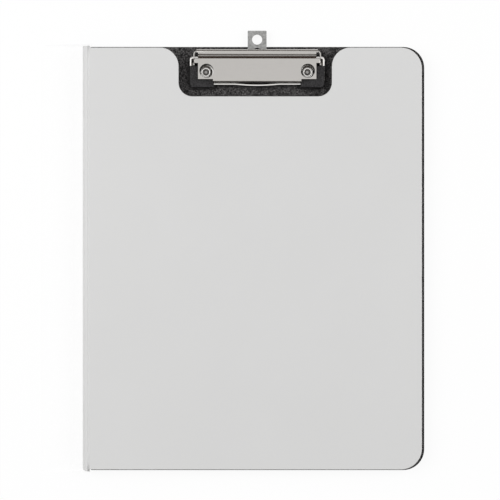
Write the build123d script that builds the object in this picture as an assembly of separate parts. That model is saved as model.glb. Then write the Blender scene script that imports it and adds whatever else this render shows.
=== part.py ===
from build123d import *
import math
import os

# Folder, closed and lying on its back, with the clip end towards +Y and the opening edge towards +X
folder_width = 253.2
board_height = 314.2
closed_thickness = 11.0
corner_radius = 15.5

# Sheets and boards
sheet_thickness = 0.7
wrap_thickness = 0.25
board_core_thickness = 2.0
cover_core_thickness = 1.0
lining_thickness = 0.3
core_play = 0.05
turn_in = 12.0
sheet_reveal = 0.25
lining_inset = 0.4

# Spine and its two creases
crease_inset = 4.6
crease_width = 1.6
film_thickness = 0.35
film_recess = 0.25
spine_foot_radius = 3.0
spine_head_radius = 0.8
board_from_crease = 0.4

# Front cover and the notch that leaves the clip free
cover_reveal_side = 2.5
cover_reveal_end = 1.4
cover_edge_round = 0.35
notch_left_room = 7.85
notch_right_room = 5.0
notch_foot_room = 7.0
notch_corner_radius = 10.3
notch_mouth_radius = 13.8

# Document pocket inside the front cover
pocket_sheet = 0.25
pocket_gap = 0.35
pocket_height = 158.0
pocket_side_margin = 7.0
pocket_foot_margin = 4.0
pocket_seam = 3.0
pocket_corner_radius = 6.0
thumb_cut_radius = 14.0

# Where the clip sits: its middle, its pivot line and its front bar
clip_x = 2.5
pivot_from_end = 8.6
pivot_rise = 4.0
bar_from_pivot = 19.1
bar_rise = 2.6

# Jaw wire
wire_radius = 1.0
leg_spread = 98.3
turned_end = 13.15
pivot_bend = 1.6
corner_bend = 3.0
bow_radius = 150.0
bow_bend = 30.0
bow_turn = 5.7

# Corner grips
grip_outside = 0.65
grip_arm = 5.75
grip_length = 17.75
grip_front = 2.7
grip_from_pivot = 5.9
grip_clear = 0.05
grip_cover = 0.8
grip_outer_radius = 2.6
grip_inner_radius = 1.0
grip_edge_round = 0.7
wire_seat = 0.03

# Lever plate
lever_sheet = 0.8
lever_rise = 8.0
plate_edge_from_lug = 3.45
curl_end_from_lug = 2.3
plate_from_bar = 0.9
front_bend = 1.0
front_drop = 1.0
step_from_pivot = 1.5
step_bend = 1.2
step_turn = 32.0
step_run = 2.2
valley_bend = 0.8
curl_slope = 55.0
curl_run = 0.2
curl_radius = 1.95
curl_turn = 185.0
corner_relief_width = 11.05
corner_relief_depth = 2.1
plate_corner_radius = 1.2
opening_radius = 5.25
opening_closer = 0.6
opening_behind_eyelet = 0.3

# Side lugs of the lever plate
lug_from_leg = 2.05
lug_front_reach = 5.7
lug_tab_front_reach = 4.2
lug_tab_before_pivot = 0.9
lug_bend = 1.0
lug_eye_radius = 2.6
lug_turn_behind_pivot = 2.1
lug_turn_radius = 2.6
lug_turn = 70.0
lug_tail = 0.5
lug_top_drop = 0.6
lug_waist_drop = 2.4
toe_front_reach = 5.5
toe_length = 2.1
toe_past_leg = 0.85
toe_gap = 0.02

# Base plate
base_sheet = 1.0
base_edge_from_ear = 1.5
base_from_plate_front = 2.9
base_behind_pivot = 4.2
base_corner_radius = 1.4
ear_gap = 2.7
ear_bend = 0.9
ear_eye_radius = 2.0
ear_foot_reach = 2.3
pivot_play = 0.05
guide_side_room = 3.0
guide_bend = 1.0
guide_turn = 60.0

# Hang tab and the stud that guides it
tab_width = 14.0
tab_thickness = 1.1
tab_lift = 0.2
tab_past_end = 11.9
tab_length = 34.4
tab_corner_radius = 0.6
hang_hole_radius = 3.75
hang_hole_from_top = 6.6
tab_travel = 10.5
slot_radius = 3.2
slot_from_top = 12.7
stud_play = 0.2
stud_floor_gap = 0.1

# Eyelets and the washers under the board
eyelet_from_front = 5.0
eyelet_from_edge = 4.45
eyelet_shift = -0.35
eyelet_wall = 0.4
eyelet_radius = 2.5
eyelet_play = 0.05
eyelet_seat_gap = 0.02
eyelet_head_bend = 0.6
eyelet_head_run = 0.15
eyelet_head_curl = 0.35
eyelet_head_turn = 60.0
eyelet_foot_run = 0.5
eyelet_foot_bend = 0.35
washer_radius = 4.3
washer_thickness = 0.4
pocket_radius = 4.6
pocket_depth = 1.2

# Torsion springs on the turned-in ends of the wire
spring_wire = 0.7
spring_play = 0.5
spring_turns = 3
spring_pitch = 1.15
spring_from_ear = 2.0
base_leg_slope = -12.0
lever_leg_slope = 7.0
base_leg_length = 4.8
lever_leg_length = 3.6

# How far a cutter reaches past what it cuts
cut_margin = 1.0

# Worked out from the sizes above
spine_x = -folder_width / 2
board_right = folder_width / 2
half_height = board_height / 2
crease_x = spine_x + crease_inset
spine_edge = crease_x - crease_width / 2
panel_left = crease_x + crease_width / 2
spine_roll = spine_edge - spine_x
board_top = sheet_thickness + 2 * wrap_thickness + board_core_thickness
cover_under = closed_thickness - sheet_thickness - cover_core_thickness

# Worked out from the pivot line towards the front of the clip
pivot_y = half_height - pivot_from_end
pivot_z = board_top + pivot_rise
bar_y = pivot_y - bar_from_pivot
wire_slope = math.degrees(math.atan2(pivot_rise - bar_rise, bar_from_pivot))
wire_plane = Plane((clip_x, pivot_y, pivot_z)).rotated((wire_slope, 0, 0))
clip_middle = Plane.YZ.offset(clip_x)
plate_front_y = bar_y + plate_from_bar
base_front_y = plate_front_y + base_from_plate_front
base_back_y = pivot_y + base_behind_pivot
grip_front_y = bar_y - grip_front
grip_back_y = pivot_y - grip_from_pivot
tab_top_y = half_height + tab_past_end
slot_top_y = tab_top_y - slot_from_top

# Worked out from the wire's legs towards the middle of the clip
half_spread = leg_spread / 2
lug_outside = half_spread - lug_from_leg
ear_outside = lug_outside - lever_sheet - ear_gap
base_half_width = ear_outside - base_edge_from_ear
plate_half_width = lug_outside - plate_edge_from_lug
curl_half_width = lug_outside - curl_end_from_lug
eyelet_half_spacing = base_half_width - eyelet_from_edge
opening_half_spacing = eyelet_half_spacing - opening_closer / 2
spring_bore = 2 * wire_radius + spring_play
guide_height = tab_thickness + 2 * tab_lift


def trace(start, heading, moves, shift=0.0):
    """Edges of a run of lines and arcs, moved to the left of it by shift.

    A move is a length, or a radius and a turn in degrees, which is positive to the left."""
    edges = []
    at = Vector(*start)
    for move in moves:
        ahead = Vector(1, 0).rotate(Axis.Z, heading)
        left = ahead.rotate(Axis.Z, 90)
        first = at + left * shift
        if isinstance(move, tuple):
            radius, turn = move
            centre = at + left * math.copysign(radius, turn)
            half_way, last = [centre + (first - centre).rotate(Axis.Z, a) for a in (turn / 2, turn)]
            edges.append(ThreePointArc(first, half_way, last))
            at = centre + (at - centre).rotate(Axis.Z, turn)
            heading += turn
        else:
            edges.append(Line(first, first + ahead * move))
            at = at + ahead * move
    return edges


def strip(start, heading, moves, thickness):
    """The section of a bent sheet, drawn by the middle of its thickness."""
    left = trace(start, heading, moves, thickness / 2)
    right = trace(start, heading, moves, -thickness / 2)
    caps = [Line(left[0] @ 0, right[0] @ 0), Line(left[-1] @ 1, right[-1] @ 1)]
    return make_face(left + right + caps)


def across_x(section, low, high):
    """Extrudes a section drawn in Y and Z between two places in X."""
    return extrude(Plane((low, 0, 0), x_dir=(0, 1, 0), z_dir=(1, 0, 0)) * section, high - low)


def along_y(section, low, high):
    """Extrudes a section drawn in X and Z between two places in Y."""
    return extrude(Plane((0, high, 0), x_dir=(1, 0, 0), z_dir=(0, -1, 0)) * section, high - low)


def upright(plan, low, high):
    """Extrudes a plan drawn in X and Y between two heights."""
    return extrude(Plane((0, 0, low)) * plan, high - low)


def through(plan):
    """A cutter from below the folder to above the clip."""
    return upright(plan, -closed_thickness, 2 * closed_thickness)


def rectangle(left, right, bottom, top):
    return Pos((left + right) / 2, (bottom + top) / 2) * Rectangle(right - left, top - bottom)


def round_corner(plan, x, y, radius):
    vertex = plan.vertices().sort_by_distance((x, y))[0]
    return fillet(vertex, radius)


def mirrored(part):
    return mirror(part, about=clip_middle)


def board_plan(left, inset=0.0, extra_ends=0.0):
    """The back board from above: square at the spine, rounded at the opening edge."""
    right = board_right - inset
    end = half_height - inset + extra_ends
    plan = rectangle(left + inset, right, -end, end)
    for y in (-end, end):
        plan = round_corner(plan, right, y, corner_radius - inset)
    return plan


def cover_plan(inset=0.0):
    """The front cover from above, with the notch round the clip."""
    left = panel_left + inset
    right = board_right - cover_reveal_side - inset
    end = half_height - cover_reveal_end - inset
    clip_reach = half_spread + wire_radius
    notch_left = clip_x - clip_reach - notch_left_room - inset
    notch_right = clip_x + clip_reach + notch_right_room + inset
    notch_foot = grip_front_y - notch_foot_room - inset
    plan = rectangle(left, right, -end, end)
    plan -= rectangle(notch_left, notch_right, notch_foot, end + cut_margin)
    for y in (-end, end):
        plan = round_corner(plan, right, y, corner_radius - inset)
    for x in (notch_left, notch_right):
        plan = round_corner(plan, x, notch_foot, notch_corner_radius + inset)
        plan = round_corner(plan, x, end, notch_mouth_radius - inset)
    return plan


def back_sheet():
    return upright(board_plan(panel_left, extra_ends=sheet_reveal), 0, sheet_thickness)


def eyelet_places():
    middle = clip_x + eyelet_shift
    y = base_front_y + eyelet_from_front
    return [(middle + side * eyelet_half_spacing, y) for side in (-1, 1)]


def eyelet_holes():
    hole = Circle(eyelet_radius + eyelet_play)
    return Part() + [through(Pos(*place) * hole) for place in eyelet_places()]


def back_board_core():
    """The stiff core, thicker inside the turned-in margin, with a pocket under each eyelet."""
    low = sheet_thickness + wrap_thickness
    board_left = panel_left + board_from_crease
    core = upright(board_plan(board_left, wrap_thickness), low, low + board_core_thickness)
    core += upright(board_plan(board_left, wrap_thickness + turn_in), sheet_thickness, low)
    for place in eyelet_places():
        core -= upright(Pos(*place) * Circle(pocket_radius), 0, sheet_thickness + pocket_depth)
    return core - eyelet_holes()


def back_board_wrap():
    """The covering: over the top, down the edges and turned in underneath."""
    board_left = panel_left + board_from_crease
    low = sheet_thickness + wrap_thickness
    wrap = upright(board_plan(board_left), sheet_thickness, board_top)
    wrap -= upright(board_plan(board_left, wrap_thickness), low, low + board_core_thickness)
    wrap -= upright(board_plan(board_left, wrap_thickness + turn_in), 0, low)
    return wrap - eyelet_holes()


def spine_section(outside, thickness):
    """Half-round rolls at the back and front joined by a flat wall, drawn in X and Z."""
    middle = outside + thickness / 2
    roll = (spine_roll - middle, 90)
    wall = closed_thickness - 2 * spine_roll
    return strip((spine_edge, closed_thickness - middle), 180, [roll, wall, roll], thickness)


def spine_trim():
    plan = rectangle(spine_x, spine_edge, -half_height, half_height)
    plan = round_corner(plan, spine_x, -half_height, spine_foot_radius)
    plan = round_corner(plan, spine_x, half_height, spine_head_radius)
    return upright(plan, 0, closed_thickness)


def spine_channel():
    return along_y(spine_section(0, sheet_thickness), -half_height, half_height) & spine_trim()


def spine_lining():
    lining = spine_section(sheet_thickness, lining_thickness)
    return along_y(lining, -half_height, half_height) & spine_trim()


def hinge_film(low):
    """The thin crease strip between the spine and a panel."""
    return upright(rectangle(spine_edge, panel_left, -half_height, half_height), low, low + film_thickness)


def back_hinge_film():
    return hinge_film(film_recess)


def front_hinge_film():
    return hinge_film(closed_thickness - film_recess - film_thickness)


def front_sheet():
    """The cover's outer sheet, turned down round every edge."""
    tray = upright(cover_plan(), cover_under, closed_thickness)
    tray -= upright(cover_plan(sheet_thickness), cover_under, closed_thickness - sheet_thickness)
    rim = tray.faces().sort_by(Axis.Z)[-1].edges()
    return fillet(rim.filter_by(lambda e: e.center().X > panel_left + core_play), cover_edge_round)


def front_core():
    return upright(cover_plan(sheet_thickness + core_play), cover_under, closed_thickness - sheet_thickness)


def front_lining():
    return upright(cover_plan(lining_inset), cover_under - lining_thickness, cover_under)


def document_pocket():
    """A sheet welded to the lining along three sides, open towards the clip, with a thumb cut."""
    left = panel_left + pocket_side_margin
    right = board_right - cover_reveal_side - pocket_side_margin
    foot = -half_height + cover_reveal_end + pocket_foot_margin
    mouth = foot + pocket_height
    plan = rectangle(left, right, foot, mouth)
    plan = round_corner(plan, right, foot, pocket_corner_radius)
    plan -= Pos((left + right) / 2, mouth) * Circle(thumb_cut_radius)
    inside = rectangle(left + pocket_seam, right - pocket_seam, foot + pocket_seam, mouth)
    seam_top = cover_under - lining_thickness
    sheet_top = seam_top - pocket_gap
    pocket = upright(plan, sheet_top - pocket_sheet, sheet_top)
    return pocket + upright(plan - inside, sheet_top, seam_top)


def base_plan():
    plan = rectangle(clip_x - base_half_width, clip_x + base_half_width, base_front_y, base_back_y)
    for side in (-1, 1):
        for y in (base_front_y, base_back_y):
            plan = round_corner(plan, clip_x + side * base_half_width, y, base_corner_radius)
    return plan


def ear():
    """One pivot ear, bent up from the base plate, with its eye round the wire."""
    outside = clip_x + ear_outside
    start = clip_x + base_half_width - base_corner_radius
    front = pivot_y - ear_foot_reach
    back = pivot_y + ear_foot_reach
    run = outside - base_sheet / 2 - ear_bend - start
    middle = board_top + base_sheet / 2
    bent = strip((start, middle), 0, [run, (ear_bend, 90), 2 * pivot_rise], base_sheet)
    foot = rectangle(front, back, board_top, board_top + base_sheet + ear_bend)
    shoulders = make_face(
        [
            Line((front, board_top), (pivot_y - ear_eye_radius, pivot_z)),
            Line((pivot_y - ear_eye_radius, pivot_z), (pivot_y + ear_eye_radius, pivot_z)),
            Line((pivot_y + ear_eye_radius, pivot_z), (back, board_top)),
            Line((back, board_top), (front, board_top)),
        ]
    )
    profile = foot + shoulders + Pos(pivot_y, pivot_z) * Circle(ear_eye_radius)
    profile -= Pos(pivot_y, pivot_z) * Circle(wire_radius + pivot_play)
    return along_y(bent, front, back) & across_x(profile, start, outside)


def clip_base_plate():
    """The riveted plate with a raised guide for the hang tab, its stop stud and two ears."""
    rise = guide_height - 2 * guide_bend * (1 - math.cos(math.radians(guide_turn)))
    ramp = rise / math.sin(math.radians(guide_turn))
    up = [(guide_bend, guide_turn), ramp, (guide_bend, -guide_turn)]
    ramp_reach = 2 * guide_bend * math.sin(math.radians(guide_turn))
    ramp_reach += ramp * math.cos(math.radians(guide_turn))
    down = [(radius, -turn) for radius, turn in (up[0], up[2])]
    guide_foot = tab_width / 2 + guide_side_room
    side_run = base_half_width - guide_foot
    crown = 2 * (guide_foot - ramp_reach)
    moves = [side_run] + up + [crown, down[0], ramp, down[1], side_run]
    section = strip((clip_x - base_half_width, board_top + base_sheet / 2), 0, moves, base_sheet)
    plate = along_y(section, base_front_y, base_back_y)
    plate = (plate & through(base_plan())) - eyelet_holes()
    stud_y = slot_top_y - slot_radius - tab_travel
    stud = Pos(clip_x, stud_y) * Circle(slot_radius - stud_play)
    plate += upright(stud, board_top + stud_floor_gap, board_top + guide_height + base_sheet / 2)
    return plate + ear() + mirrored(ear())


def hang_tab():
    left = clip_x - tab_width / 2
    bottom = tab_top_y - tab_length
    plan = rectangle(left, left + tab_width, bottom, tab_top_y)
    for x in (left, left + tab_width):
        for y in (bottom, tab_top_y):
            plan = round_corner(plan, x, y, tab_corner_radius)
    plan -= Pos(clip_x, tab_top_y - hang_hole_from_top) * Circle(hang_hole_radius)
    slot_end = slot_top_y - slot_radius
    plan -= Pos(clip_x, slot_end) * Circle(slot_radius)
    plan -= Pos(clip_x, slot_end - tab_travel) * Circle(slot_radius)
    plan -= rectangle(clip_x - slot_radius, clip_x + slot_radius, slot_end - tab_travel, slot_end)
    return upright(plan, board_top + tab_lift, board_top + tab_lift + tab_thickness)


def eyelet():
    """One hollow rivet: a rolled head above the base plate, a barrel, and a foot rolled over its washer."""
    barrel = eyelet_radius - eyelet_wall / 2
    seat = board_top + base_sheet + eyelet_seat_gap
    head_rise = eyelet_head_curl * (1 - math.cos(math.radians(eyelet_head_turn)))
    head_low = seat + eyelet_wall / 2 + head_rise
    washer_low = sheet_thickness + pocket_depth - washer_thickness
    foot = washer_low - eyelet_wall / 2 - 2 * core_play
    length = head_low - eyelet_head_bend - foot - eyelet_foot_bend
    moves = [eyelet_foot_run, (eyelet_foot_bend, -90), length, (eyelet_head_bend, -90)]
    moves += [eyelet_head_run, (eyelet_head_curl, -eyelet_head_turn)]
    start = (barrel + eyelet_foot_run + eyelet_foot_bend, foot)
    return revolve(Plane.XZ * strip(start, 180, moves, eyelet_wall), Axis.Z)


def clip_eyelets():
    return Compound(children=[Pos(*place) * eyelet() for place in eyelet_places()])


def eyelet_washers():
    high = sheet_thickness + pocket_depth
    ring = Circle(washer_radius) - Circle(eyelet_radius + eyelet_play)
    washer = upright(ring, high - washer_thickness, high)
    return Compound(children=[Pos(*place) * washer for place in eyelet_places()])


def lever_section():
    """The lever plate from the side: front flange, flat, step, valley and rolled thumb lip."""
    flange_y = plate_front_y + lever_sheet / 2
    flange_z = board_top + lever_rise - front_bend - front_drop
    flat = pivot_y - step_from_pivot - flange_y - front_bend
    moves = [front_drop, (front_bend, -90), flat, (step_bend, -step_turn), step_run]
    moves += [(valley_bend, step_turn + curl_slope), curl_run, (curl_radius, -curl_turn)]
    return strip((flange_y, flange_z), 90, moves, lever_sheet)


def side_lug():
    """One side lug: a tab bent down from the plate, an eye on the wire, a toe under the leg and a
    tail that curves in to the end of the rolled lip."""
    middle_x = clip_x + lug_outside - lever_sheet / 2
    top_z = board_top + lever_rise
    start_x = clip_x + plate_half_width - plate_corner_radius
    front = pivot_y - lug_front_reach
    tab_front = pivot_y - lug_tab_front_reach
    tab_back = pivot_y - lug_tab_before_pivot
    run = middle_x - lug_bend - start_x
    bent = strip((start_x, top_z), 0, [run, (lug_bend, -90), lever_rise], lever_sheet)
    tab = along_y(bent, tab_front, tab_back)
    length = lug_front_reach + lug_turn_behind_pivot
    bend_in = [length, (lug_turn_radius, lug_turn), lug_tail]
    wall_plan = strip((middle_x, front), 90, bend_in, lever_sheet)
    wall_top = top_z - lug_top_drop
    waist = top_z - lug_waist_drop
    wall = upright(wall_plan, board_top, wall_top)
    slope = math.radians(wire_slope)
    leg_drop = toe_front_reach * math.tan(slope) + wire_radius / math.cos(slope)
    toe_top = pivot_z - leg_drop - toe_gap
    toe_under = toe_top - lever_sheet
    eye = Pos(pivot_y, pivot_z) * Circle(lug_eye_radius)
    blade = rectangle(front, pivot_y, toe_under, top_z + lever_sheet)
    tail = rectangle(pivot_y, half_height, waist, wall_top)
    neck = rectangle(pivot_y, tab_back + lug_eye_radius, pivot_z, waist)
    profile = eye + blade + tail + neck
    profile -= Pos(pivot_y, pivot_z) * Circle(wire_radius + wire_seat)
    lug = (tab + wall) & across_x(profile, start_x, clip_x + lug_outside + cut_margin)
    toe_front = pivot_y - toe_front_reach
    toe_end = clip_x + half_spread + toe_past_leg
    toe_plan = rectangle(middle_x, toe_end, toe_front, toe_front + toe_length)
    return lug + upright(toe_plan, toe_under, toe_top)


def clip_lever_plate():
    section = lever_section()
    plate = across_x(section, clip_x - curl_half_width, clip_x + curl_half_width)
    curl_front = pivot_y + lug_eye_radius + cut_margin
    relief_back = plate_front_y + corner_relief_depth
    opening_y = base_front_y + eyelet_from_front + opening_behind_eyelet
    for side in (-1, 1):
        edge = clip_x + side * plate_half_width
        beyond = clip_x + side * (curl_half_width + cut_margin)
        relief = edge - side * corner_relief_width
        low_x, high_x = sorted((edge, beyond))
        plate -= through(rectangle(low_x, high_x, plate_front_y - cut_margin, curl_front))
        low_x, high_x = sorted((relief, beyond))
        plate -= through(rectangle(low_x, high_x, plate_front_y - cut_margin, relief_back))
        opening_x = clip_x + side * opening_half_spacing
        plate -= through(Pos(opening_x, opening_y) * Circle(opening_radius))
    return plate + side_lug() + mirrored(side_lug())


def wire_path():
    """The middle of the wire, from the left turned-in end to the right one, in its own plane."""
    reach = bar_from_pivot / math.cos(math.radians(wire_slope))
    end_run = turned_end - pivot_bend
    leg_run = reach - pivot_bend - corner_bend
    bow_reach = (bow_radius + bow_bend) * math.sin(math.radians(bow_turn))
    bar_run = half_spread - corner_bend - bow_reach
    bow = [(bow_bend, -bow_turn), (bow_radius, 2 * bow_turn), (bow_bend, -bow_turn)]
    side = [end_run, (pivot_bend, 90), leg_run, (corner_bend, 90), bar_run]
    moves = side + bow + side[::-1]
    return wire_plane * Wire(trace((turned_end - half_spread, 0), 180, moves))


def swept_wire(radius):
    path = wire_path()
    section = Plane(origin=path @ 0, z_dir=path % 0) * Circle(radius)
    return sweep(section, path)


def jaw_wire():
    return swept_wire(wire_radius)


def corner_grip_right():
    """An L-shaped rubber pad seated in the corner of the wire, flat on the board."""
    right = clip_x + half_spread + grip_outside
    front = grip_front_y
    plan = rectangle(right - grip_arm, right, front, grip_back_y)
    plan += rectangle(right - grip_length, right, front, front + grip_arm)
    plan = round_corner(plan, right, front, grip_outer_radius)
    plan = round_corner(plan, right - grip_arm, front + grip_arm, grip_inner_radius)
    low = board_top + grip_clear
    slope = math.tan(math.radians(wire_slope))
    front_top = board_top + bar_rise + wire_radius + grip_cover - slope * grip_front
    back_top = front_top + slope * (grip_back_y - front)
    side = make_face(
        [
            Line((front, low), (grip_back_y, low)),
            Line((grip_back_y, low), (grip_back_y, back_top)),
            Line((grip_back_y, back_top), (front, front_top)),
            Line((front, front_top), (front, low)),
        ]
    )
    grip = upright(plan, low, back_top) & across_x(side, right - grip_length, right)
    rim = grip.faces().sort_by(Axis.Z)[-1].edges()
    grip = fillet(rim, grip_edge_round)
    return grip - swept_wire(wire_radius + wire_seat)


def corner_grip_left():
    return mirrored(corner_grip_right())


def spring_points():
    """Places and directions at each quarter turn of the right spring, from its base leg on."""
    radius = (spring_bore + spring_wire) / 2
    first = -90 + base_leg_slope
    last = -270 + lever_leg_slope - 360 * spring_turns
    steps = math.ceil((first - last) / 90)
    climb = spring_pitch / 360
    outer = ear_outside - base_sheet - spring_from_ear
    inner = outer - climb * (first - last)
    places = []
    for step in range(steps + 1):
        angle = first + (last - first) * step / steps
        turn = math.radians(angle)
        x = clip_x + inner + climb * (first - angle)
        at = Vector(x, pivot_y + radius * math.cos(turn), pivot_z + radius * math.sin(turn))
        along = Vector(math.degrees(climb), radius * math.sin(turn), -radius * math.cos(turn))
        places.append((at, along.normalized()))
    return places


def biarc(start, start_way, end, end_way):
    """Two arcs that leave one place and reach another along the given directions."""
    chord = end - start
    ways = start_way + end_way
    slack = 2 * (1 - start_way.dot(end_way))
    reach = (math.sqrt(chord.dot(ways) ** 2 + slack * chord.dot(chord)) - chord.dot(ways)) / slack
    leave = start + start_way * reach
    arrive = end - end_way * reach
    meet = (leave + arrive) / 2
    way = (arrive - leave).normalized()
    return [Edge.make_tangent_arc(start, start_way, meet), Edge.make_tangent_arc(meet, way, end)]


def torsion_spring_right():
    """One unbroken wire: a leg on the base plate, the curls, and a leg under the lever plate."""
    places = spring_points()
    first, first_way = places[0]
    last, last_way = places[-1]
    edges = [Edge.make_line(first - first_way * base_leg_length, first)]
    for (start, start_way), (end, end_way) in zip(places, places[1:]):
        edges += biarc(start, start_way, end, end_way)
    edges.append(Edge.make_line(last, last + last_way * lever_leg_length))
    path = Wire(edges)
    section = Plane(origin=path @ 0, z_dir=path % 0) * Circle(spring_wire / 2)
    return sweep(section, path)


def torsion_spring_left():
    return mirrored(torsion_spring_right())


def least_spring_gap():
    """The least clear distance between places on the spring that are over half a turn apart."""
    places = [at for at, way in spring_points()]
    apart = [(a - b).length for i, a in enumerate(places) for b in places[i + 3 :]]
    return min(apart) - spring_wire


sub_parts = [
    back_sheet,
    back_board_core,
    back_board_wrap,
    clip_base_plate,
    clip_eyelets,
    eyelet_washers,
    hang_tab,
    spine_channel,
    spine_lining,
    back_hinge_film,
    front_hinge_film,
    front_sheet,
    front_core,
    front_lining,
    document_pocket,
    clip_lever_plate,
    jaw_wire,
    corner_grip_left,
    corner_grip_right,
    torsion_spring_left,
    torsion_spring_right,
]

os.makedirs("parts", exist_ok=True)
for sub_part in sub_parts:
    export_step(sub_part(), f"parts/{sub_part.__name__}.step")
print(f"least gap between curls of a spring: {least_spring_gap():.2f} mm")
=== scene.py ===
"""Looks of the clipboard folder: its finishes, creases, welded seams and stage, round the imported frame."""

import math

import bmesh
import bpy
from bpy.props import FloatProperty, FloatVectorProperty, IntProperty, PointerProperty
from mathutils import Euler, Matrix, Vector


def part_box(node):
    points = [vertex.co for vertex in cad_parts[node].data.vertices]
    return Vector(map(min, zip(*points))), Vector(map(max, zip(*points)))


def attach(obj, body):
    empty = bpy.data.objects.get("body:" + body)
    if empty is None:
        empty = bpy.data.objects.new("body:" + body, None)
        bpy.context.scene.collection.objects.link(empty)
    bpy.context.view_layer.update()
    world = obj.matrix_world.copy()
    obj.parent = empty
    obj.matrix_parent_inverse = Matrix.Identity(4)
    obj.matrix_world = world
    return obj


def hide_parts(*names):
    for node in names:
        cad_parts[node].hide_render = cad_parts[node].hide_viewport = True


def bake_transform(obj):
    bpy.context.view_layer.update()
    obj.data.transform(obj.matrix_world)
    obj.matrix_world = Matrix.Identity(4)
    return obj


bl_info = {
    "name": "Clipboard Folder Looks",
    "version": (1, 0, 0),
    "blender": (4, 5, 0),
    "location": "View3D > Sidebar > Folder",
    "description": "Dresses the packed clipboard folder and builds its creases, seams and stage",
    "category": "Object",
}

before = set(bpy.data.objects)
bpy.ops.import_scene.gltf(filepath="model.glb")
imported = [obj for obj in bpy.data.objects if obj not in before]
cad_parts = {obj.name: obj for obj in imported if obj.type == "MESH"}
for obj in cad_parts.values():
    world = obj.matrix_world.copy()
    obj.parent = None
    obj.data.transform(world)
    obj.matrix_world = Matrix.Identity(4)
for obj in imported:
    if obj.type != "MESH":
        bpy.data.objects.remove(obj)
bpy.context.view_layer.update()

MM = 0.001

# The photograph is square, taken from straight above, and this wide at the height of the board
PHOTO_WIDTH = 371.35 * MM
PHOTO_CENTRE = (-2.8 * MM, 6.3 * MM)
PHOTO_HEIGHT = 3.2 * MM
SENSOR_WIDTH = 36.0

# Corners that lie closer together than this are one corner
MERGE_DISTANCE = 1e-6

WHITE = (1.0, 1.0, 1.0)


def length(name, description, default, low=0.0, high=1.0):
    """A length property in metres."""
    return FloatProperty(name=name, description=description, default=default, min=low, max=high,
                         precision=5, subtype="DISTANCE", unit="LENGTH")


def share(name, description, default):
    """A property between nought and one."""
    return FloatProperty(name=name, description=description, default=default, min=0.0, max=1.0,
                         subtype="FACTOR")


def colour(name, description, default):
    """A linear colour property."""
    return FloatVectorProperty(name=name, description=description, default=default, size=3,
                               min=0.0, max=1.0, subtype="COLOR")


class FolderSheetLook(bpy.types.PropertyGroup):
    """The grey outer sheet."""

    tint: colour("Sheet colour", "Colour of the outer sheet", (0.673, 0.672, 0.668))
    worn: colour("Worn edge colour", "Colour where the sheet's edges are rubbed", (0.78, 0.78, 0.77))
    roughness: share("Roughness", "Roughness of the outer sheet", 0.46)
    grain: length("Grain size", "Size of the sheet's fine grain", 0.55 * MM)
    grain_depth: length("Grain depth", "Depth of the sheet's fine grain", 0.012 * MM)


class FolderCoveringLook(bpy.types.PropertyGroup):
    """The black covering, lining and pocket."""

    tint: colour("Covering colour", "Colour of the grained covering", (0.087, 0.083, 0.083))
    # Painted shade: the colour laid on the covering where it sits in shade
    hollow: colour("Hollow colour", "Colour of the covering that never sees light", (0.003, 0.003, 0.003))
    lining: colour("Lining colour", "Colour of the lining inside the cover and spine", (0.017, 0.017, 0.018))
    pocket: colour("Pocket colour", "Colour of the document pocket", (0.028, 0.028, 0.03))
    board: colour("Board colour", "Colour of the raw greyboard cores", (0.42, 0.385, 0.33))
    roughness: share("Roughness", "Roughness of the grained covering", 0.5)
    lining_roughness: share("Lining roughness", "Roughness of the lining", 0.52)
    pocket_roughness: share("Pocket roughness", "Roughness of the document pocket", 0.27)
    gloss: share("Gloss", "Gloss of the grained covering", 0.16)
    grain: length("Grain size", "Size of the leather-like cells", 0.8 * MM)
    grain_depth: length("Grain depth", "Depth between the cells", 0.14 * MM)


class FolderMetalLook(bpy.types.PropertyGroup):
    """The plated parts of the clip, and its rubber corners."""

    nickel: colour("Nickel colour", "Colour of the plated sheet metal", (0.515, 0.498, 0.477))
    base: colour("Base plate colour", "Colour of the base plate and the eyelets", (0.78, 0.765, 0.74))
    # Painted shade: this colour darkens the metal's hollows in place of shade, not oil or dirt
    painted_shade: colour("Grime colour", "Colour of the oil and dirt in the metal's hollows", (0.05, 0.042, 0.036))
    wire: colour("Wire colour", "Colour of the bright jaw wire", (0.82, 0.805, 0.785))
    zinc: colour("Zinc colour", "Colour of the matte hang tab and washers", (0.35, 0.35, 0.345))
    spring: colour("Spring colour", "Colour of the spring steel", (0.34, 0.33, 0.32))
    rubber: colour("Rubber colour", "Colour of the corner grips", (0.031, 0.03, 0.031))
    rubber_gloss: share("Rubber gloss", "Gloss of the corner grips", 0.16)
    nickel_roughness: share("Nickel roughness", "Roughness of the plated sheet metal", 0.17)
    base_roughness: share("Base plate roughness", "Roughness of the base plate and the eyelets", 0.16)
    wire_roughness: share("Wire roughness", "Roughness of the jaw wire", 0.09)
    zinc_roughness: share("Zinc roughness", "Roughness of the hang tab and washers", 0.42)
    spring_roughness: share("Spring roughness", "Roughness of the spring steel", 0.28)
    rubber_roughness: share("Rubber roughness", "Roughness of the corner grips", 0.62)
    edge: length("Edge round", "Round on the sheared edges of the lever plate", 0.1 * MM)
    spring_leg: length("Spring leg", "Thickness of a spring's leg along the pivot", 0.75 * MM)
    tab_edge: length("Tab edge round", "Round on the tumbled edges of the hang tab", 0.3 * MM)


class FolderCreaseSizes(bpy.types.PropertyGroup):
    """The two creases between the spine and the covers."""

    depth: length("Groove depth", "How far the crease is pressed in", 0.3 * MM)
    film: length("Film thickness", "Thickness of the film at the crease", 0.33 * MM)
    skin: length("Skin thickness", "Thickness of the black inner skin", 0.12 * MM)
    steps: IntProperty(name="Steps", description="Steps across the groove", default=14, min=4, max=40)
    cuts: IntProperty(name="Cuts", description="Cuts along the crease", default=36, min=1, max=200)


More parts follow.
